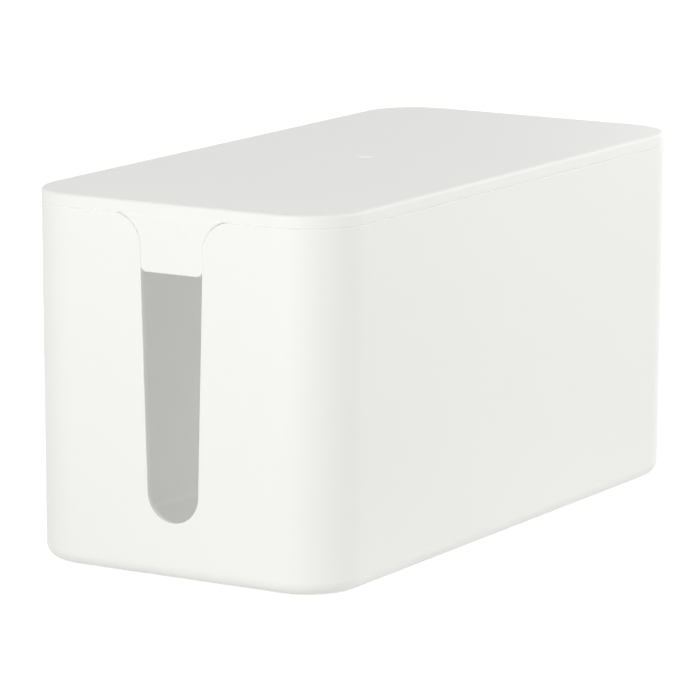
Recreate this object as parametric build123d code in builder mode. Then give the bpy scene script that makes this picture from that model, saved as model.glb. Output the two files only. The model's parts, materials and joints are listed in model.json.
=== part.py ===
"""Cable management box: a white moulded tub with a cable slot in each end, a lift-off lid with a
tab over each slot, and four rubber feet.

Millimetres. X runs along the length, Y across the width and +Z up. The origin is on the surface
that the box stands on, under the middle of the box. Front is -Y and left is -X.
"""

from build123d import *
import os
from math import cos, radians, sin, tan

# Whole box, standing on its feet with the lid on
length = 235.0
width = 115.0
height = 120.0
corner_radius = 20.0  # upright corners, at the rim

# Body shell
wall = 2.0
base_thickness = 2.4
wall_draft = 0.4  # degrees that each wall leans in towards the base
base_edge_radius = 4.5
base_inner_radius = 2.5
edge_radius = 0.2  # rounding of the rim and of the cable slots

# Cable slot in each end wall
slot_bottom = 19.2  # height of its lowest point
slot_bottom_radius = 9.3
slot_slope = 1.6  # degrees that each side opens outwards on its way up
slot_mouth_radius = 10.0  # flare where the slot opens into the rim
slot_mouth_margin = 2.0  # how far the cutting profile runs past the flare

# Lid
rim_height = 4.3  # from the seam to the top
lid_thickness = 2.2
lid_edge_radius = 1.2
rim_edge_radius = 0.15
ceiling_radius = 0.8  # where the lid's underside meets the lip

# Lip under the lid that drops inside the body
lip_thickness = 1.5
lip_depth = 4.0  # below the seam
lip_clearance = 0.4
lip_edge_radius = 0.4

# Tab at each end of the lid, which fills the top of the cable slot
tab_depth = 17.8  # from the seam to its lower edge
tab_clearance = 0.3
tab_setback = 0.2  # behind the outer face of the end wall
tab_corner_radius = 1.8
tab_edge_radius = 0.15

# Moulding gate marks, at the middle of the lid and under the base
gate_diameter = 6.0
gate_depth = 0.3
gate_stub_diameter = 1.8
gate_stub_height = 0.2

# Rubber feet, seated in round recesses in the base
foot_diameter = 10.0
foot_projection = 1.0
foot_recess = 0.8
foot_clearance = 0.3
foot_inset = 20.0  # from the outside of the walls to a foot's centre
foot_edge_radius = 0.5

# Heights that follow from the sizes above
base_z = foot_projection
floor_z = base_z + base_thickness
seam_z = height - rim_height
ceiling_z = height - lid_thickness
lip_bottom_z = seam_z - lip_depth
tab_bottom_z = seam_z - tab_depth
tab_top_z = seam_z + tab_clearance / 2  # inside the rim, just below where the flare runs level
slot_centre_z = slot_bottom + slot_bottom_radius
beyond = 10.0  # how far a cutting shape runs past what it cuts
tiny = 0.001

slope = radians(slot_slope)
lip_offset = wall + lip_clearance
foot_x = length / 2 - foot_inset
foot_y = width / 2 - foot_inset


def lean(z):
    """How far the drafted walls have leant in at a height."""
    return (seam_z - z) * tan(radians(wall_draft))


def outline(offset, mode=Mode.ADD):
    """Rounded rectangle of the box's plan, moved in by an offset."""
    RectangleRounded(length - 2 * offset, width - 2 * offset, corner_radius - offset, mode=mode)


def slot_half_width(z, inset):
    """Half the width of the cable slot's straight stretch at a height, moved in by an inset."""
    return (slot_bottom_radius - inset) / cos(slope) + (z - slot_centre_z) * tan(slope)


def slot_profile(inset):
    """Cable slot and its flared mouth in the plane of the end wall, moved in by an inset."""
    radius = slot_bottom_radius - inset
    rim = seam_z + inset
    half_rim = slot_half_width(rim, inset)
    half_mouth = half_rim + slot_mouth_radius + inset + slot_mouth_margin
    half_tangent = radius * cos(slope)
    tangent_z = slot_centre_z - radius * sin(slope)
    left = [(-half_mouth, rim + beyond), (-half_mouth, rim), (-half_rim, rim), (-half_tangent, tangent_z)]
    right = [(half_tangent, tangent_z), (half_rim, rim), (half_mouth, rim), (half_mouth, rim + beyond)]
    with BuildSketch() as profile:
        with BuildLine():
            Polyline(*left)
            TangentArc(left[-1], right[0], tangent=(sin(slope), -cos(slope)))
            Polyline(*right, left[0])
        make_face()
        at_rim = profile.vertices().filter_by_position(Axis.Y, rim - tiny, rim + tiny)
        fillet(at_rim.sort_by(Axis.X)[1:3], slot_mouth_radius + inset)
    return profile.sketch


def gate_mark(face_plane):
    """Shallow dish in a flat face, with the stub of the moulding gate standing in it."""
    dish_radius = (gate_diameter**2 / 4 + gate_depth**2) / (2 * gate_depth)
    with Locations(face_plane.offset(dish_radius - gate_depth)):
        Sphere(dish_radius, mode=Mode.SUBTRACT)
    stub_height = gate_stub_height + gate_depth
    with Locations(face_plane.offset(gate_stub_height - gate_depth)):
        Cylinder(gate_stub_diameter / 2, stub_height, align=(Align.CENTER, Align.CENTER, Align.MAX))


slot_opening = slot_profile(0)
tab_outline = slot_profile(tab_clearance)

# Webs that tie the tabs to the lip: how far in they start and end, and their width
web_outside = wall / 2
web_inside = lip_offset + lip_thickness
web_width = 2 * (slot_half_width(tab_bottom_z, tab_clearance) - tab_corner_radius)

os.makedirs("parts", exist_ok=True)

# The hollow of the body, with its lower edges rounded
with BuildPart() as cavity:
    with BuildSketch(Plane.XY.offset(floor_z)):
        outline(wall + lean(floor_z))
    extrude(amount=seam_z - floor_z, taper=-wall_draft)
    fillet(cavity.faces().sort_by(Axis.Z)[0].edges(), base_inner_radius)

with BuildPart() as box_body:
    with BuildSketch(Plane.XY.offset(base_z)):
        outline(lean(base_z))
    extrude(amount=seam_z - base_z, taper=-wall_draft)
    fillet(box_body.faces().sort_by(Axis.Z)[0].edges(), base_edge_radius)
    add(cavity.part, mode=Mode.SUBTRACT)
    # One cut makes the cable slots in both ends
    with BuildSketch(Plane.YZ):
        add(slot_opening)
    extrude(amount=length, both=True, mode=Mode.SUBTRACT)
    # Each slot's edges flow into the rim's, so this rounding runs on round the whole rim
    slot_edges = [e for e in box_body.edges() if abs(e.center().Z - slot_bottom) < tiny]
    fillet(slot_edges, edge_radius)
    with BuildSketch(Plane.XY.offset(base_z)):
        with GridLocations(2 * foot_x, 2 * foot_y, 2, 2):
            Circle(foot_diameter / 2 + foot_clearance)
    extrude(amount=foot_recess, mode=Mode.SUBTRACT)
    gate_mark(-Plane.XY.offset(base_z))
box_body.part.label = "box_body"
export_step(box_body.part, "parts/box_body.step")

# Both tabs: the stretches of the lid's wall that stand in the cable slots
with BuildPart() as tabs:
    with BuildSketch(Plane.XY.offset(tab_bottom_z)):
        outline(tab_setback + lean(tab_bottom_z))
    extrude(amount=tab_top_z - tab_bottom_z, taper=-wall_draft)
    with BuildSketch(Plane.XY.offset(tab_bottom_z)):
        outline(wall + lean(tab_bottom_z))
    extrude(amount=tab_top_z - tab_bottom_z, taper=-wall_draft, mode=Mode.SUBTRACT)
    with BuildSketch(Plane.YZ) as tab_sketch:
        add(tab_outline)
        with Locations((0, tab_bottom_z)):
            Rectangle(width, tab_top_z - tab_bottom_z, align=(Align.CENTER, Align.MIN), mode=Mode.INTERSECT)
        fillet(tab_sketch.vertices().group_by(Axis.Y)[0], tab_corner_radius)
    extrude(amount=length, both=True, mode=Mode.INTERSECT)
    end_to_end = tabs.faces().sort_by(Axis.X)
    for outer_face in (end_to_end[0], end_to_end[-1]):
        fillet([e for e in outer_face.edges() if e.center().Z < seam_z], tab_edge_radius)

# The lip that drops inside the body, with its lower edges rounded
with BuildPart() as lip:
    with BuildSketch(Plane.XY.offset(lip_bottom_z)):
        outline(lip_offset)
        outline(lip_offset + lip_thickness, mode=Mode.SUBTRACT)
    extrude(amount=ceiling_z - lip_bottom_z)
    fillet(lip.faces().sort_by(Axis.Z)[0].edges(), lip_edge_radius)

with BuildPart() as lid:
    with BuildSketch(Plane.XY.offset(seam_z)):
        outline(0)
    extrude(amount=rim_height)
    fillet(lid.faces().sort_by(Axis.Z)[-1].edges(), lid_edge_radius)
    fillet(lid.faces().sort_by(Axis.Z)[0].edges(), rim_edge_radius)
    with BuildSketch(Plane.XY.offset(seam_z)):
        outline(lip_offset + lip_thickness)
    extrude(amount=ceiling_z - seam_z, mode=Mode.SUBTRACT)
    add(lip.part)
    ceiling = lid.faces().filter_by_position(Axis.Z, ceiling_z - tiny, ceiling_z + tiny)
    fillet(ceiling.edges(), ceiling_radius)
    add(tabs.part)
    # A web behind each tab ties it to the lip
    with BuildSketch(Plane.XY.offset(lip_bottom_z + lip_edge_radius)):
        for side in (-1, 1):
            with Locations((side * (length / 2 - (web_inside + web_outside) / 2), 0)):
                Rectangle(web_inside - web_outside, web_width)
    extrude(amount=lip_depth - lip_edge_radius)
    gate_mark(Plane.XY.offset(height))
lid.part.label = "lid"
export_step(lid.part, "parts/lid.step")

feet = {
    "foot_front_left": (-foot_x, -foot_y),
    "foot_front_right": (foot_x, -foot_y),
    "foot_rear_left": (-foot_x, foot_y),
    "foot_rear_right": (foot_x, foot_y),
}
for name, (x, y) in feet.items():
    with BuildPart() as foot:
        with BuildSketch(Plane((x, y, 0))):
            Circle(foot_diameter / 2)
        extrude(amount=foot_projection + foot_recess)
        fillet(foot.edges().sort_by(Axis.Z)[0], foot_edge_radius)
    foot.part.label = name
    export_step(foot.part, f"parts/{name}.step")
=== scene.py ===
"""Looks of a cable management box: a white moulded tub, its lift-off lid and four rubber feet.

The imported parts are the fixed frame, in metres. X runs along the length, Y across the width and
+Z up, and the origin is on the floor under the middle of the box. Front is -Y and left is -X.
"""

import contextlib
import json
import math

import bmesh
import bpy
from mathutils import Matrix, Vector

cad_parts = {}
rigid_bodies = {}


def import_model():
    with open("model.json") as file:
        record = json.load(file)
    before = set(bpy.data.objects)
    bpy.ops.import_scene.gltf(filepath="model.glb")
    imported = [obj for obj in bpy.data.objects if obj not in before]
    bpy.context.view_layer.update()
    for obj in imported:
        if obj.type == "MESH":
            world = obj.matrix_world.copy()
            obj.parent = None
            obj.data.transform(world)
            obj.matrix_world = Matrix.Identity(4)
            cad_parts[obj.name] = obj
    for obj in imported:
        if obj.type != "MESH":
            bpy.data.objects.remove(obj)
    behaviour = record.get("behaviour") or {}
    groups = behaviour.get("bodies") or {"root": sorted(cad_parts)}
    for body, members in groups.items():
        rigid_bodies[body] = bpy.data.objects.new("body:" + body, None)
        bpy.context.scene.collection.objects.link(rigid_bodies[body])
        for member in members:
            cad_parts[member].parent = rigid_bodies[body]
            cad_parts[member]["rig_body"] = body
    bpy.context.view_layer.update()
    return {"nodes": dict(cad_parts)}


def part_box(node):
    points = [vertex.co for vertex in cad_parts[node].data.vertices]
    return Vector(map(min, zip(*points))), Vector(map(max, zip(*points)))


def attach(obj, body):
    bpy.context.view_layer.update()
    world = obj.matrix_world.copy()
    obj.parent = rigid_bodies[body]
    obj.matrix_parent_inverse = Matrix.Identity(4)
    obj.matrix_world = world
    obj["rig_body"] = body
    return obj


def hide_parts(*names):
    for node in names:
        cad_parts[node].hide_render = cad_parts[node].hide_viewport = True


bl_info = {
    "name": "Cable management box",
    "version": (1, 0, 0),
    "blender": (4, 5, 0),
    "location": "View3D > Sidebar > Cable Box",
    "description": "Models the tub, the lid and the feet of a cable management box, and lights them",
    "category": "Object",
}

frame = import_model()

MM = 0.001
UP = Vector((0, 0, 1))

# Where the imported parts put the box
body_low, body_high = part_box("box_body")
lid_low, lid_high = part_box("lid")
half_length = lid_high.x
half_width = lid_high.y
base_z = body_low.z
seam_z = body_high.z
top_z = lid_high.z
tab_bottom_z = lid_low.z
feet = sorted(name for name in frame["nodes"] if name.startswith("foot_"))

# How finely round edges are cut
CORNER_STEPS = 28
EDGE_STEPS = 5
ROUND_STEPS = 64
BEYOND = 10 * MM  # how far a cutting shape runs past what it cuts
TINY = 0.02 * MM  # how near a vertex has to be to count as on a level or an outline
MERGED = TINY / 20  # how near vertices have to be to be merged
ALIGNED = 0.99  # least cosine between a direction and the normal of a face that looks that way
SHARP = math.radians(40)  # least turn at an edge that stays sharp

# Where the ejector pins' marks are, as shares of half the length and of half the width
TUB_PIN_COLUMNS = (-0.7, 0, 0.7)
TUB_PIN_ROWS = (-0.5, 0.5)
LID_PIN_COLUMNS = (-0.75, -0.25, 0.25, 0.75)
LID_PIN_ROWS = (-0.55, 0.55)


# ---------------------------------------------------------------- settings


def length(name, millimetres, description):
    """A length that is given in millimetres and kept in metres."""
    return bpy.props.FloatProperty(
        name=name,
        description=description,
        default=millimetres * MM,
        min=0,
        precision=5,
        subtype="DISTANCE",
        unit="LENGTH",
    )


def degrees(name, value, description):
    """An angle that is given in degrees and kept in radians."""
    return bpy.props.FloatProperty(
        name=name,
        description=description,
        default=math.radians(value),
        subtype="ANGLE",
        unit="ROTATION",
    )


def share(name, value, description):
    """A number from 0 to 1."""
    return bpy.props.FloatProperty(
        name=name,
        description=description,
        default=value,
        min=0,
        max=1,
        subtype="FACTOR",
    )


def ratio(name, value, description):
    """A number from 0 upwards."""
    return bpy.props.FloatProperty(name=name, description=description, default=value, min=0)


def colour(name, value, description):
    """A linear colour."""
    return bpy.props.FloatVectorProperty(
        name=name,
        description=description,
        default=value,
        min=0,
        max=1,
        size=3,
        subtype="COLOR",
    )


def place(name, value, description):
    """A point in metres."""
    return bpy.props.FloatVectorProperty(
        name=name, description=description, default=value, subtype="TRANSLATION", unit="LENGTH"
    )


def power(name, watts, description):
    """Power of a lamp, in watts."""
    return bpy.props.FloatProperty(
        name=name, description=description, default=watts, min=0, subtype="POWER"
    )


class ShellSizes(bpy.types.PropertyGroup):
    """Sizes that the tub and the lid share."""

    corner_radius: length("Corner radius", 20, "Radius of the upright corners at the rim")
    wall: length("Wall", 2, "Thickness of the walls")
    draft: degrees("Draft", 0.4, "How far each wall leans in towards the base")
    gate_width: length("Gate mark", 4.8, "Width of the round recess at the moulding gate")
    gate_depth: length("Gate depth", 0.6, "Depth of that recess")
    gate_stub: length("Gate stub", 1.4, "Width of the stub in the recess")
    gate_stub_height: length("Gate stub height", 0.25, "Height of that stub")
    pin_width: length("Ejector mark", 7, "Width of the marks that the ejector pins leave inside")
    pin_depth: length("Ejector mark depth", 0.12, "Depth of those marks")


class TubSizes(bpy.types.PropertyGroup):
    """Sizes of the tub."""

    base_thickness: length("Base", 2.4, "Thickness of the base")
    base_edge_radius: length("Base edge", 4.5, "Rounding of the base's outer edge")
    base_inner_radius: length("Inner base edge", 2.5, "Rounding where the floor meets the walls")
    edge_radius: length("Edges", 0.3, "Rounding of the rim and the cable slots")
    slot_bottom: length("Slot bottom", 19.2, "Height of the cable slots' lowest point")
    slot_radius: length("Slot radius", 9.3, "Radius of the cable slots' round bottom")
    slot_slope: degrees("Slot slope", 1.6, "How far each side of a slot opens on its way up")
    mouth_radius: length("Mouth radius", 10, "Flare where a slot opens into the rim")


class LidSizes(bpy.types.PropertyGroup):
    """Sizes of the lid."""

    thickness: length("Thickness", 2.2, "Thickness of the lid's top")
    top_edge_radius: length("Top edge", 1.2, "Rounding of the top's edge")
    rim_edge_radius: length("Rim edge", 0.15, "Rounding of the rim's lower edge")
    seam_gap: length("Seam gap", 0.15, "Height of the gap between the rim's outer edge and the tub")
    seam_depth: length("Seam depth", 0.8, "How far in that gap goes, before the rim rests on the tub")
    ceiling_radius: length("Ceiling edge", 0.8, "Rounding where the underside meets the lip")
    lip_thickness: length("Lip", 1.5, "Thickness of the lip that drops inside the tub")
    lip_depth: length("Lip depth", 4, "How far the lip drops below the seam")
    lip_clearance: length("Lip clearance", 0.4, "Gap between the lip and the tub's wall")
    lip_edge_radius: length("Lip edge", 0.4, "Rounding of the lip's lower edges")
    tab_clearance: length("Tab clearance", 0.12, "Gap between a tab and the sides of its slot")
    tab_rise: length("Tab rise", 0.17, "How far a tab reaches up into the rim")
    tab_setback: length("Tab setback", 0.1, "How far a tab stands behind the end wall's face")
    tab_corner_radius: length("Tab corner", 1.8, "Rounding of a tab's lower corners")
    tab_edge_radius: length("Tab edge", 0.3, "Rounding of a tab's outer edge")


class FootSizes(bpy.types.PropertyGroup):
    """Sizes of the rubber feet and of their recesses."""

    clearance: length("Clearance", 0.3, "Gap round a foot in its recess")
    edge_radius: length("Edge", 0.5, "Rounding of a foot's lower edge")
    dish_width: length("Dish", 5, "Width of the shallow dish in a foot's underside")
    dish_depth: length("Dish depth", 0.12, "Depth of that dish")


class PlasticFinish(bpy.types.PropertyGroup):
    """Satin white moulded plastic."""

    colour: colour("Colour", (0.98, 0.98, 0.979), "Colour of the plastic")
    dull_shade: ratio("Dull shade", 0.998, "Brightness of the dullest patches, as part of the colour")
    roughness: share("Roughness", 0.42, "Mean roughness of the satin surface")
    unevenness: share("Unevenness", 0.05, "How far the roughness strays from its mean")
    refraction: ratio("Index of refraction", 1.49, "How strongly the surface reflects")
    grain: length("Grain", 0.25, "Size of the fine texture that the mould leaves")
    grain_depth: length("Grain depth", 0.002, "Height of that texture")
    swell: length("Swell", 45, "Size of the slow swells that cooling leaves in flat walls")
    swell_depth: length("Swell depth", 0.03, "Height of those swells")


class RubberFinish(bpy.types.PropertyGroup):
    """Matt grey rubber."""

    colour: colour("Colour", (0.30, 0.30, 0.30), "Colour of the rubber")
    dark_shade: ratio("Dark shade", 0.85, "Brightness of the darkest patches, as part of the colour")
    light_shade: ratio("Light shade", 1.2, "Brightness of the lightest patches, as part of the colour")
    bloom: length("Bloom", 4.2, "Size of the patches of dusty bloom")
    roughness: share("Roughness", 0.8, "Mean roughness")
    unevenness: share("Unevenness", 0.15, "How much the roughness varies with the grain")
    refraction: ratio("Index of refraction", 1.52, "How strongly the surface reflects")
    grain: length("Grain", 0.35, "Size of the surface's grain")
    grain_depth: length("Grain depth", 0.02, "Height of the grain")


class StageSettings(bpy.types.PropertyGroup):
    """Camera, lamps, floor and background."""

    camera_place: place("Camera place", (-1.32705, -0.78679, 0.34671), "Where the camera stands")
    camera_turn: bpy.props.FloatVectorProperty(
        name="Camera turn",
        description="How the camera is turned about X, Y and Z",
        default=(1.384217, -0.004078, -1.031656),
        subtype="EULER",
        unit="ROTATION",
    )
    lens: bpy.props.FloatProperty(
        name="Lens",
        description="Focal length, in millimetres on a 36 mm sensor",
        default=244.18,
        subtype="DISTANCE_CAMERA",
    )
    sight: length("Sight", 100000, "How far the camera sees")
    room_light: share("Room light", 0.4, "Brightness of the even light from all round")
    room_tint: colour("Room tint", (1, 0.98, 0.98), "Colour of that light")
    end_light: power("End lamp", 5.45, "Power of the soft lamp off the left end")
    end_place: place("End lamp's place", (-0.966, 0, 0.319), "Where that lamp stands")
    end_tint: colour("End lamp's tint", (0.976, 1, 0.928), "Colour of that lamp")
    end_size: length("End lamp's size", 900, "Width and height of that lamp")
    far_light: power("Far lamp", 3.1, "Power of the soft lamp off the right end, for the inside too")
    far_place: place("Far lamp's place", (1.195, 0, 0.165), "Where that lamp stands")
    far_tint: colour("Far lamp's tint", (0.985, 1, 0.974), "Colour of that lamp")
    far_size: length("Far lamp's size", 1000, "Width and height of that lamp")
    side_light: power("Side lamp", 11.8, "Power of the soft lamp in front, to the right")
    side_place: place("Side lamp's place", (0.785, -0.936, 0.505), "Where that lamp stands")
    side_tint: colour("Side lamp's tint", (0.991, 1, 0.95), "Colour of that lamp")
    side_size: length("Side lamp's size", 1800, "Width and height of that lamp")
    floor_radius: length("Floor radius", 12000, "Radius of the round floor")
    floor_colour: colour("Floor colour", (0.75, 0.75, 0.75), "Colour of the floor")
    floor_white: ratio("Floor white", 0.71, "How much the floor lightens where it is seen")
    bounces: bpy.props.IntProperty(
        name="Bounces",
        description="How often light bounces inside the white box",
        default=128,
        min=1,
    )


class CableBox(bpy.types.PropertyGroup):
    """All the settings of the box and its stage."""

    shell: bpy.props.PointerProperty(type=ShellSizes)
    tub: bpy.props.PointerProperty(type=TubSizes)
    lid: bpy.props.PointerProperty(type=LidSizes)
    foot: bpy.props.PointerProperty(type=FootSizes)
    plastic: bpy.props.PointerProperty(type=PlasticFinish)
    rubber: bpy.props.PointerProperty(type=RubberFinish)
    stage: bpy.props.PointerProperty(type=StageSettings)


# ---------------------------------------------------------------- modelling by hand


@contextlib.contextmanager
def editing(piece):
    """Edit mode on one piece."""
    bpy.ops.object.select_all(action="DESELECT")
    piece.select_set(True)
    bpy.context.view_layer.objects.active = piece
    bpy.ops.object.mode_set(mode="EDIT")
    yield
    bpy.ops.object.mode_set(mode="OBJECT")


def select(piece, kind, test):
    """Selects just the vertices, edges or faces of a piece in edit mode that pass a test."""
    bpy.ops.mesh.select_mode(type=kind)
    bpy.ops.mesh.select_all(action="DESELECT")
    mesh = bmesh.from_edit_mesh(piece.data)
    for item in {"VERT": mesh.verts, "EDGE": mesh.edges, "FACE": mesh.faces}[kind]:
        if test(item):
            item.select_set(True)
    mesh.select_flush_mode()
    bmesh.update_edit_mesh(piece.data)


def settled(name):
    """The active object, named, with its place moved into its mesh."""
    piece = bpy.context.object
    piece.name = name
    piece.data.name = name
    bpy.ops.object.transform_apply(location=True, rotation=True, scale=True)
    return piece


def add_block(name, low, high):
    """A block between two corners."""
    bpy.ops.object.select_all(action="DESELECT")
    bpy.ops.mesh.primitive_cube_add(size=1, location=(low + high) / 2, scale=high - low)
    return settled(name)


def add_disc(name, radius, first, second):
    """An upright disc between the middles of its two faces."""
    bpy.ops.object.select_all(action="DESELECT")
    bpy.ops.mesh.primitive_cylinder_add(
        vertices=ROUND_STEPS,
        radius=radius,
        depth=abs(first.z - second.z),
        location=(first + second) / 2,
    )
    return settled(name)


def apply_modifier(piece, kind, **settings):
    """Gives a piece a modifier and applies it."""
    bpy.ops.object.select_all(action="DESELECT")
    piece.select_set(True)
    bpy.context.view_layer.objects.active = piece
    modifier = piece.modifiers.new(kind, kind)
    for name, value in settings.items():
        setattr(modifier, name, value)
    bpy.ops.object.modifier_apply(modifier=modifier.name)


def combine(piece, tool, operation):
    """Cuts a tool out of a piece, or adds it to the piece, and removes the tool."""
    apply_modifier(piece, "BOOLEAN", object=tool, operation=operation, solver="EXACT")
    bpy.data.meshes.remove(tool.data)


def copy_of(piece, name):
    """A copy of a piece, with a mesh of its own."""
    bpy.ops.object.select_all(action="DESELECT")
    piece.select_set(True)
    bpy.context.view_layer.objects.active = piece
    bpy.ops.object.duplicate(linked=False)
    return settled(name)


def near(value, target):
    """Whether two lengths differ by less than a hair."""
    return abs(value - target) < TINY


def on_level(level):
    """Test for a vertex at a height."""
    return lambda vertex: near(vertex.co.z, level)


def along_x(test):
    """Test for an edge along X whose ends both pass a test."""
    return lambda edge: (
        all(map(test, edge.verts)) and not near(edge.verts[0].co.x, edge.verts[1].co.x)
    )


def facing(direction, level):
    """Test for a flat face that looks up or down at a height."""
    return lambda face: (
        face.normal.dot(direction) > ALIGNED and near(face.calc_center_median().z, level)
    )


def inset_of(point, radius):
    """How far in from the box's outline a point lies, seen from above."""
    x = abs(point.x) - half_length + radius
    y = abs(point.y) - half_width + radius
    return radius - math.hypot(max(x, 0), max(y, 0)) - min(max(x, y), 0)


def on_ring(level, inset, radius):
    """Test for an edge of the ring at a height that lies in from the box's outline by an inset."""
    return lambda edge: all(
        near(v.co.z, level) and near(inset_of(v.co, radius), inset) for v in edge.verts
    )


def bevel(radius, steps=EDGE_STEPS):
    """Rounds the selected edges."""
    bpy.ops.mesh.bevel(offset=radius, segments=steps, affect="EDGES", clamp_overlap=False)


def draw_in(piece, level, radius, amount):
    """Moves the outline at a height in by an amount, each corner towards its arc's centre."""
    corner = Vector((half_length, half_width, 0)) - Vector((1, 1, 0)) * corner_radius()
    for side_x in (-1, 1):
        for side_y in (-1, 1):
            centre = Vector((side_x * corner.x, side_y * corner.y, level))
            select(
                piece,
                "VERT",
                lambda v: near(v.co.z, level) and v.co.x * side_x > 0 and v.co.y * side_y > 0,
            )
            factor = 1 - amount / radius
            bpy.ops.transform.resize(value=(factor, factor, 1), center_override=centre)


def corner_radius():
    """Radius of the box's upright corners."""
    return bpy.context.scene.cable_box.shell.corner_radius


def lean(level):
    """How far the drafted walls have leant in at a height."""
    return (seam_z - level) * math.tan(bpy.context.scene.cable_box.shell.draft)


def rounded_block(name, low_z, high_z):
    """A block with the box's outline, from one height to another."""
    low = Vector((-half_length, -half_width, low_z))
    high = Vector((half_length, half_width, high_z))
    piece = add_block(name, low, high)
    with editing(piece):
        select(piece, "EDGE", lambda edge: not near(edge.verts[0].co.z, edge.verts[1].co.z))
        bevel(corner_radius(), steps=CORNER_STEPS)
    return piece


def slot_bar(name, low_x, high_x, inset, lift):
    """Bar along X with the section of the cable slot and its flared mouth, moved in by an inset.

    The mouth's flare runs level at a lift above the seam.
    """
    tub = bpy.context.scene.cable_box.tub
    slope = tub.slot_slope
    radius = tub.slot_radius - inset
    bottom = tub.slot_bottom + inset
    rim = seam_z + lift
    half_corner = math.pi / 4 + slope / 2
    half_bottom = radius / math.tan(half_corner)
    half_rim = half_bottom + (rim - bottom) * math.tan(slope)
    flare = tub.mouth_radius + inset
    arm_past_flare = 2 * MM
    bar = add_block(name, Vector((low_x, -half_rim, bottom)), Vector((high_x, half_rim, rim)))
    with editing(bar):
        select(bar, "VERT", on_level(bottom))
        centre = Vector((0, 0, bottom))
        bpy.ops.transform.resize(value=(1, half_bottom / half_rim, 1), center_override=centre)
        select(bar, "FACE", facing(UP, rim))
        bpy.ops.mesh.extrude_region_move(TRANSFORM_OT_translate={"value": UP * BEYOND})
        for side in (-1, 1):
            select(
                bar,
                "FACE",
                lambda face: face.normal.y * side > ALIGNED and face.calc_center_median().z > rim,
            )
            arm = Vector((0, side * (flare + arm_past_flare), 0))
            bpy.ops.mesh.extrude_region_move(TRANSFORM_OT_translate={"value": arm})
        select(bar, "EDGE", along_x(lambda v: near(v.co.z, rim) and near(abs(v.co.y), half_rim)))
        bevel(flare / math.tan(half_corner), steps=2 * EDGE_STEPS)
        # The roundings of the bottom stop a hair short of its middle, where merging joins them
        select(bar, "EDGE", along_x(on_level(bottom)))
        bevel(half_bottom * 0.9999, steps=3 * EDGE_STEPS)
        bpy.ops.mesh.select_all(action="SELECT")
        bpy.ops.mesh.remove_doubles(threshold=TINY / 4)
    return bar


def mark_gate(piece, level, facing_up):
    """Round recess in a flat face, with the stub of the moulding gate standing in it."""
    shell = bpy.context.scene.cable_box.shell
    outwards = UP if facing_up else -UP
    floor = UP * level - outwards * shell.gate_depth
    over = UP * level + outwards * shell.gate_depth
    combine(piece, add_disc("gate_recess", shell.gate_width / 2, floor, over), "DIFFERENCE")
    rise = outwards * shell.gate_stub_height
    stub = add_disc("gate_stub", shell.gate_stub / 2, floor - rise, floor + rise)
    with editing(stub):
        select(stub, "EDGE", lambda edge: all(near(v.co.z, (floor + rise).z) for v in edge.verts))
        bevel(shell.gate_stub_height / 3, steps=3)
    combine(piece, stub, "UNION")


def mark_pins(piece, level, columns, rows, facing_up):
    """Round marks of the ejector pins in an inner face, in columns along X and rows along Y."""
    shell = bpy.context.scene.cable_box.shell
    outwards = UP if facing_up else -UP
    for column in columns:
        for row in rows:
            face = Vector((column * half_length, row * half_width, level))
            floor = face - outwards * shell.pin_depth
            pin = add_disc("pin", shell.pin_width / 2, floor, face + outwards * shell.wall / 2)
            combine(piece, pin, "DIFFERENCE")


def smooth(piece):
    """Merges what meets, checks that the piece is closed, and shades flat faces flat."""
    with editing(piece):
        bpy.ops.mesh.select_all(action="SELECT")
        bpy.ops.mesh.remove_doubles(threshold=MERGED)
        mesh = bmesh.from_edit_mesh(piece.data)
        open_edges = sum(not edge.is_manifold for edge in mesh.edges)
    if open_edges:
        raise RuntimeError(f"{piece.name} has {open_edges} open edges")
    bpy.ops.object.shade_smooth_by_angle(angle=SHARP)
    apply_modifier(piece, "WEIGHTED_NORMAL", weight=100, keep_sharp=True)


# ---------------------------------------------------------------- finishes


class Wire:
    """An output socket of a node tree. Arithmetic with wires and numbers adds Math nodes."""

    def __init__(self, socket):
        self.socket = socket
        self.tree = socket.id_data

    @staticmethod
    def node(tree, kind, settings, sockets):
        """Adds a node. Its settings are set first, and then each socket gets its value or its link."""
        node = tree.nodes.new("ShaderNode" + kind)
        for name, value in settings.items():
            setattr(node, name, value)
        for name, value in sockets.items():
            if isinstance(value, Wire):
                tree.links.new(value.socket, node.inputs[name])
            else:
                node.inputs[name].default_value = value
        return node

    def maths(self, operation, first, second):
        node = Wire.node(self.tree, "Math", {"operation": operation}, {0: first, 1: second})
        return Wire(node.outputs[0])

    def __add__(self, other):
        return self.maths("ADD", self, other)

    def __radd__(self, other):
        return self.maths("ADD", other, self)

    def __sub__(self, other):
        return self.maths("SUBTRACT", self, other)

    def __rsub__(self, other):
        return self.maths("SUBTRACT", other, self)

    def __mul__(self, other):
        return self.maths("MULTIPLY", self, other)

    def __rmul__(self, other):
        return self.maths("MULTIPLY", other, self)


def new_material(name):
    """A material with an empty node tree, and that tree."""
    material = bpy.data.materials.new(name)
    material.use_nodes = True
    material.node_tree.nodes.clear()
    return material, material.node_tree


def noise(tree, size, detail):
    """Noise from about 0 to 1 on the object's own coordinates, with features of a given size."""
    coordinates = Wire.node(tree, "TexCoord", {}, {})
    texture = Wire.node(
        tree,
        "TexNoise",
        {"noise_dimensions": "3D", "normalize": True},
        {
            "Vector": Wire(coordinates.outputs["Object"]),
            "Scale": 1 / size,
            "Detail": detail,
        },
    )
    return Wire(texture.outputs[0])


def tint(tree, first, second, amount):
    """Colour between two colours."""
    # The node has one A, one B and one result for each kind of data: 6, 7 and 2 are the colours
    mix = Wire.node(
        tree,
        "Mix",
        {"data_type": "RGBA", "blend_type": "MIX"},
        {"Factor": amount, 6: (*first, 1), 7: (*second, 1)},
    )
    return Wire(mix.outputs[2])


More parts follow.
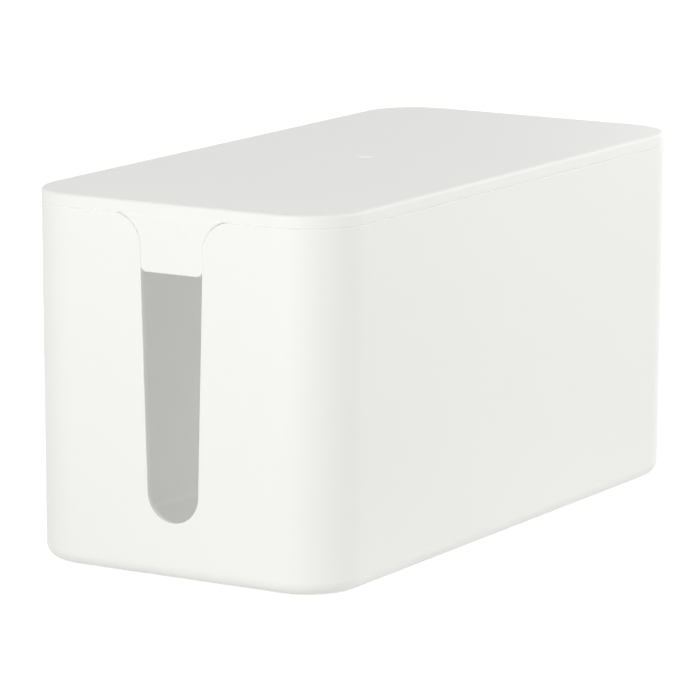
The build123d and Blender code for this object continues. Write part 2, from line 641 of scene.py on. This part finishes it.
def moulded_plastic(name, finish, patch_scale):
    """Satin white plastic with its mould's fine grain, slow swells and a faintly uneven gloss.

    The patches of gloss are larger than the swells by the given scale.
    """
    material, tree = new_material(name)
    grain = noise(tree, finish.grain, detail=2)
    swell = noise(tree, finish.swell, detail=1)
    patches = noise(tree, finish.swell * patch_scale, detail=3)
    relief = grain * finish.grain_depth + swell * finish.swell_depth
    bump = Wire.node(tree, "Bump", {}, {"Strength": 1.0, "Distance": 1.0, "Height": relief})
    uneven = (2 * (patches - 0.5) + (grain - 0.5)) * finish.unevenness
    pale = Vector(finish.colour)
    shader = Wire.node(
        tree,
        "BsdfPrincipled",
        {},
        {
            "Base Color": tint(tree, pale * finish.dull_shade, pale, patches),
            "Roughness": finish.roughness + uneven,
            "IOR": finish.refraction,
            "Normal": Wire(bump.outputs[0]),
        },
    )
    Wire.node(tree, "OutputMaterial", {}, {"Surface": Wire(shader.outputs[0])})
    return material


def matt_rubber(name, finish):
    """Matt grey rubber with a fine grain and a dusty bloom."""
    material, tree = new_material(name)
    grain = noise(tree, finish.grain, detail=3)
    bloom = noise(tree, finish.bloom, detail=4)
    relief = grain * finish.grain_depth
    bump = Wire.node(tree, "Bump", {}, {"Strength": 1.0, "Distance": 1.0, "Height": relief})
    grey = Vector(finish.colour)
    shader = Wire.node(
        tree,
        "BsdfPrincipled",
        {},
        {
            "Base Color": tint(tree, grey * finish.dark_shade, grey * finish.light_shade, bloom),
            "Roughness": finish.roughness + (grain - 0.5) * finish.unevenness,
            "IOR": finish.refraction,
            "Normal": Wire(bump.outputs[0]),
        },
    )
    Wire.node(tree, "OutputMaterial", {}, {"Surface": Wire(shader.outputs[0])})
    return material


# ---------------------------------------------------------------- pieces


def dress(piece, material, node):
    """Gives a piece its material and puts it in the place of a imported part."""
    piece.data.materials.clear()
    piece.data.materials.append(material)
    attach(piece, frame["nodes"][node]["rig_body"])
    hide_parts(node)


class CABLEBOX_OT_tub(bpy.types.Operator):
    """Models the tub: rounded walls and base, a cable slot in each end, and recesses for the feet"""

    bl_idname = "cablebox.tub"
    bl_label = "Tub"

    def execute(self, context):
        box = context.scene.cable_box
        sizes = box.tub
        wall = box.shell.wall
        radius = corner_radius()
        floor_z = base_z + sizes.base_thickness
        tub = rounded_block("tub", base_z, seam_z)
        with editing(tub):
            draw_in(tub, base_z, radius, lean(base_z))
            select(tub, "EDGE", on_ring(base_z, lean(base_z), radius))
            bevel(sizes.base_edge_radius, steps=2 * EDGE_STEPS)
            select(tub, "FACE", facing(UP, seam_z))
            bpy.ops.mesh.inset(thickness=wall, use_even_offset=True)
            bpy.ops.mesh.extrude_region_move(TRANSFORM_OT_translate={"value": UP * (floor_z - seam_z)})
            draw_in(tub, floor_z, radius - wall, lean(floor_z))
            select(tub, "EDGE", on_ring(floor_z, wall + lean(floor_z), radius))
            bevel(sizes.base_inner_radius)
        # The cut runs level a hair above the rim, so that it never lies in the rim's own plane
        bar = slot_bar("slot_bar", -half_length - BEYOND, half_length + BEYOND, 0, TINY)
        combine(tub, bar, "DIFFERENCE")
        with editing(tub):
            select(tub, "EDGE", lambda edge: edge.is_manifold and edge.calc_face_angle() > SHARP)
            bevel(sizes.edge_radius)
        for name in feet:
            low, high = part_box(name)
            recess_radius = (high.x - low.x) / 2 + box.foot.clearance
            middle = Vector(((low.x + high.x) / 2, (low.y + high.y) / 2, 0))
            recess = add_disc("recess", recess_radius, middle, middle + UP * high.z)
            combine(tub, recess, "DIFFERENCE")
        mark_gate(tub, base_z, False)
        mark_pins(tub, floor_z, TUB_PIN_COLUMNS, TUB_PIN_ROWS, True)
        smooth(tub)
        plastic = moulded_plastic("tub_plastic", box.plastic, patch_scale=1.3)
        dress(tub, plastic, "box_body")
        return {"FINISHED"}


class CABLEBOX_OT_lid(bpy.types.Operator):
    """Models the lid: a capped rim, a lip that drops inside the tub, and a tab over each cable slot"""

    bl_idname = "cablebox.lid"
    bl_label = "Lid"

    def execute(self, context):
        box = context.scene.cable_box
        sizes = box.lid
        radius = corner_radius()
        wall = box.shell.wall
        lip_inset = wall + sizes.lip_clearance
        lip_inside = lip_inset + sizes.lip_thickness
        lip_bottom = seam_z - sizes.lip_depth
        ceiling_z = top_z - sizes.thickness
        rim_bottom = seam_z + sizes.seam_gap
        lid = rounded_block("cover", rim_bottom, top_z)
        with editing(lid):
            select(lid, "FACE", facing(-UP, rim_bottom))
            # From the rim's edge inwards: down to rest on the tub, down the lip, up to the ceiling
            for inset, rise in (
                (sizes.seam_depth, seam_z - rim_bottom),
                (lip_inset - sizes.seam_depth, lip_bottom - seam_z),
                (sizes.lip_thickness, ceiling_z - lip_bottom),
            ):
                bpy.ops.mesh.inset(thickness=inset, use_even_offset=True)
                bpy.ops.mesh.extrude_region_move(TRANSFORM_OT_translate={"value": UP * rise})
            # The height and the inset of each edge that gets rounded
            for level, inset, rounding in (
                (top_z, 0, sizes.top_edge_radius),
                (rim_bottom, 0, sizes.rim_edge_radius),
                (lip_bottom, lip_inset, sizes.lip_edge_radius),
                (lip_bottom, lip_inside, sizes.lip_edge_radius),
                (ceiling_z, lip_inside, sizes.ceiling_radius),
            ):
                select(lid, "EDGE", on_ring(level, inset, radius))
                bevel(rounding)
        for turn in (0, math.pi):
            combine(lid, self.web(box, turn, lip_inside, lip_bottom), "UNION")
            combine(lid, self.tab(box, turn), "UNION")
        mark_gate(lid, top_z, True)
        mark_pins(lid, ceiling_z, LID_PIN_COLUMNS, LID_PIN_ROWS, False)
        smooth(lid)
        plastic = moulded_plastic("cover_plastic", box.plastic, patch_scale=1.7)
        dress(lid, plastic, "lid")
        return {"FINISHED"}

    def tab(self, box, turn):
        """The stretch of wall that stands in the left cable slot, or turned, in the right one."""
        sizes = box.lid
        outside = -half_length + sizes.tab_setback
        inside = -half_length + box.shell.wall
        tab = slot_bar("tab", outside, inside, sizes.tab_clearance, 2 * sizes.tab_rise)
        with editing(tab):
            bpy.ops.mesh.select_all(action="SELECT")
            bpy.ops.mesh.bisect(plane_co=UP * tab_bottom_z, plane_no=UP, use_fill=True, clear_inner=True)
            bpy.ops.mesh.select_all(action="SELECT")
            tab_top = UP * (seam_z + sizes.tab_rise)
            bpy.ops.mesh.bisect(plane_co=tab_top, plane_no=UP, use_fill=True, clear_outer=True)
            select(tab, "EDGE", along_x(on_level(tab_bottom_z)))
            bevel(sizes.tab_corner_radius)
            select(
                tab,
                "EDGE",
                lambda edge: all(near(v.co.x, outside) for v in edge.verts)
                and not all(near(v.co.z, tab_top.z) for v in edge.verts),
            )
            bevel(sizes.tab_edge_radius)
            # The tab leans with the end wall
            bpy.ops.mesh.select_all(action="SELECT")
            seam = Vector((outside, 0, seam_z))
            bpy.ops.transform.rotate(value=box.shell.draft, orient_axis="Y", center_override=seam)
            bpy.ops.transform.rotate(value=turn, orient_axis="Z", center_override=Vector())
        return tab

    def web(self, box, turn, lip_inside, lip_bottom):
        """The web that ties a tab to the lip, about as wide as the tab's straight lower edge."""
        sizes = box.lid
        slot = box.tub
        rise = tab_bottom_z - slot.slot_bottom - slot.slot_radius
        half_slot = slot.slot_radius + rise * math.tan(slot.slot_slope)
        half = half_slot - sizes.tab_clearance - sizes.tab_corner_radius
        low = Vector((-half_length + box.shell.wall / 2, -half, lip_bottom + sizes.lip_edge_radius))
        high = Vector((-half_length + lip_inside, half, seam_z + 2 * sizes.tab_rise))
        web = add_block("web", low, high)
        with editing(web):
            bpy.ops.mesh.select_all(action="SELECT")
            bpy.ops.transform.rotate(value=turn, orient_axis="Z", center_override=Vector())
        return web


class CABLEBOX_OT_feet(bpy.types.Operator):
    """Models the four rubber feet: discs with a rounded edge and a shallow dish underneath"""

    bl_idname = "cablebox.feet"
    bl_label = "Feet"

    def execute(self, context):
        box = context.scene.cable_box
        first_low, first_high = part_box(feet[0])
        pads = [self.pad(box.foot, feet[0].replace("foot", "pad"), first_low, first_high)]
        for name in feet[1:]:
            pad = copy_of(pads[0], name.replace("foot", "pad"))
            with editing(pad):
                bpy.ops.mesh.select_all(action="SELECT")
                bpy.ops.transform.translate(value=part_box(name)[0] - first_low)
            pads.append(pad)
        rubber = matt_rubber("pad_rubber", box.rubber)
        for name, pad in zip(feet, pads):
            dress(pad, rubber, name)
        return {"FINISHED"}

    def pad(self, sizes, name, low, high):
        """A foot that fills the box between two corners."""
        radius = (high.x - low.x) / 2
        middle = Vector(((low.x + high.x) / 2, (low.y + high.y) / 2, low.z))
        pad = add_disc(name, radius, middle, middle + UP * (high.z - low.z))
        with editing(pad):
            select(pad, "EDGE", lambda edge: all(near(v.co.z, low.z) for v in edge.verts))
            bevel(sizes.edge_radius)
            select(pad, "FACE", facing(-UP, low.z))
            dish = sizes.dish_width / 2
            bpy.ops.mesh.inset(thickness=radius - sizes.edge_radius - dish, use_even_offset=True)
            # Each ring rises less than the one before, and together they rise by the dish's depth
            for step in range(EDGE_STEPS):
                bpy.ops.mesh.inset(thickness=dish / (EDGE_STEPS + 1), use_even_offset=True)
                rise = sizes.dish_depth * (2 * (EDGE_STEPS - step) - 1) / EDGE_STEPS**2
                bpy.ops.transform.translate(value=UP * rise)
        smooth(pad)
        return pad


# ---------------------------------------------------------------- stage


def seen(tree):
    """1 where the camera looks, straight or through a reflection, and 0 for all other light."""
    rays = Wire.node(tree, "LightPath", {}, {})
    return (
        Wire(rays.outputs["Is Camera Ray"])
        + Wire(rays.outputs["Is Glossy Ray"])
        + Wire(rays.outputs["Is Transmission Ray"])
    )


class CABLEBOX_OT_stage(bpy.types.Operator):
    """Sets up the floor, the white background, the lamps and the camera"""

    bl_idname = "cablebox.stage"
    bl_label = "Stage"

    def execute(self, context):
        settings = context.scene.cable_box.stage
        context.scene.view_settings.view_transform = "Standard"
        for limit in ("diffuse_bounces", "glossy_bounces", "max_bounces"):
            setattr(context.scene.cycles, limit, settings.bounces)
        # Blurred reflections lose light at each bounce, which would leave the inside too dark
        context.scene.cycles.blur_glossy = 0
        self.camera(settings)
        self.floor(settings)
        self.room(settings)
        for name in ("end", "far", "side"):
            self.lamp(settings, name)
        return {"FINISHED"}

    def camera(self, settings):
        """The camera, at the box's viewing angle."""
        bpy.ops.object.select_all(action="DESELECT")
        bpy.ops.object.camera_add(location=settings.camera_place, rotation=settings.camera_turn)
        camera = bpy.context.object
        camera.name = "camera"
        camera.data.sensor_width = 36
        camera.data.lens = settings.lens
        camera.data.clip_end = settings.sight
        bpy.context.scene.camera = camera

    def floor(self, settings):
        """A pale floor that keeps the box's shadow and looks white elsewhere."""
        bpy.ops.object.select_all(action="DESELECT")
        bpy.ops.mesh.primitive_circle_add(
            vertices=ROUND_STEPS,
            radius=settings.floor_radius,
            fill_type="NGON",
            location=-UP * TINY,
        )
        floor = settled("floor")
        material, tree = new_material("floor_paint")
        paint = Wire.node(tree, "BsdfDiffuse", {}, {"Color": (*settings.floor_colour, 1)})
        white = seen(tree) * settings.floor_white
        glow = Wire.node(tree, "Emission", {}, {"Color": (1, 1, 1, 1), "Strength": white})
        layers = {0: Wire(paint.outputs[0]), 1: Wire(glow.outputs[0])}
        both = Wire.node(tree, "AddShader", {}, layers)
        Wire.node(tree, "OutputMaterial", {}, {"Surface": Wire(both.outputs[0])})
        floor.data.materials.append(material)

    def room(self, settings):
        """Even light from all round, and a white background."""
        world = bpy.data.worlds.new("room")
        world.use_nodes = True
        tree = world.node_tree
        tree.nodes.clear()
        strength = seen(tree) * (1 - settings.room_light) + settings.room_light
        shade = tint(tree, settings.room_tint, (1, 1, 1), seen(tree))
        light = Wire.node(tree, "Background", {}, {"Color": shade, "Strength": strength})
        Wire.node(tree, "OutputWorld", {}, {"Surface": Wire(light.outputs[0])})
        bpy.context.scene.world = world

    def lamp(self, settings, name):
        """A soft square lamp that looks at the middle of the box."""
        stand = Vector(getattr(settings, name + "_place"))
        turn = (UP * top_z / 2 - stand).to_track_quat("-Z", "Y").to_euler()
        bpy.ops.object.select_all(action="DESELECT")
        bpy.ops.object.light_add(type="AREA", location=stand, rotation=turn)
        lamp = bpy.context.object
        lamp.name = name + "_lamp"
        lamp.data.size = getattr(settings, name + "_size")
        lamp.data.energy = getattr(settings, name + "_light")
        lamp.data.color = getattr(settings, name + "_tint")
        lamp.visible_camera = False


class CABLEBOX_PT_panel(bpy.types.Panel):
    """Lists what makes the box and its stage"""

    bl_label = "Cable Box"
    bl_idname = "CABLEBOX_PT_panel"
    bl_space_type = "VIEW_3D"
    bl_region_type = "UI"
    bl_category = "Cable Box"

    def draw(self, context):
        for operator in OPERATORS:
            self.layout.operator(operator.bl_idname)


OPERATORS = (CABLEBOX_OT_stage, CABLEBOX_OT_tub, CABLEBOX_OT_lid, CABLEBOX_OT_feet)
GROUPS = (
    ShellSizes,
    TubSizes,
    LidSizes,
    FootSizes,
    PlasticFinish,
    RubberFinish,
    StageSettings,
    CableBox,
)
CLASSES = (*GROUPS, *OPERATORS, CABLEBOX_PT_panel)


def register():
    for each in CLASSES:
        bpy.utils.register_class(each)
    bpy.types.Scene.cable_box = bpy.props.PointerProperty(type=CableBox)


def unregister():
    del bpy.types.Scene.cable_box
    for each in reversed(CLASSES):
        bpy.utils.unregister_class(each)


def main():
    register()
    bpy.ops.cablebox.stage()
    bpy.ops.cablebox.tub()
    bpy.ops.cablebox.lid()
    bpy.ops.cablebox.feet()


if __name__ == "__main__":
    main()
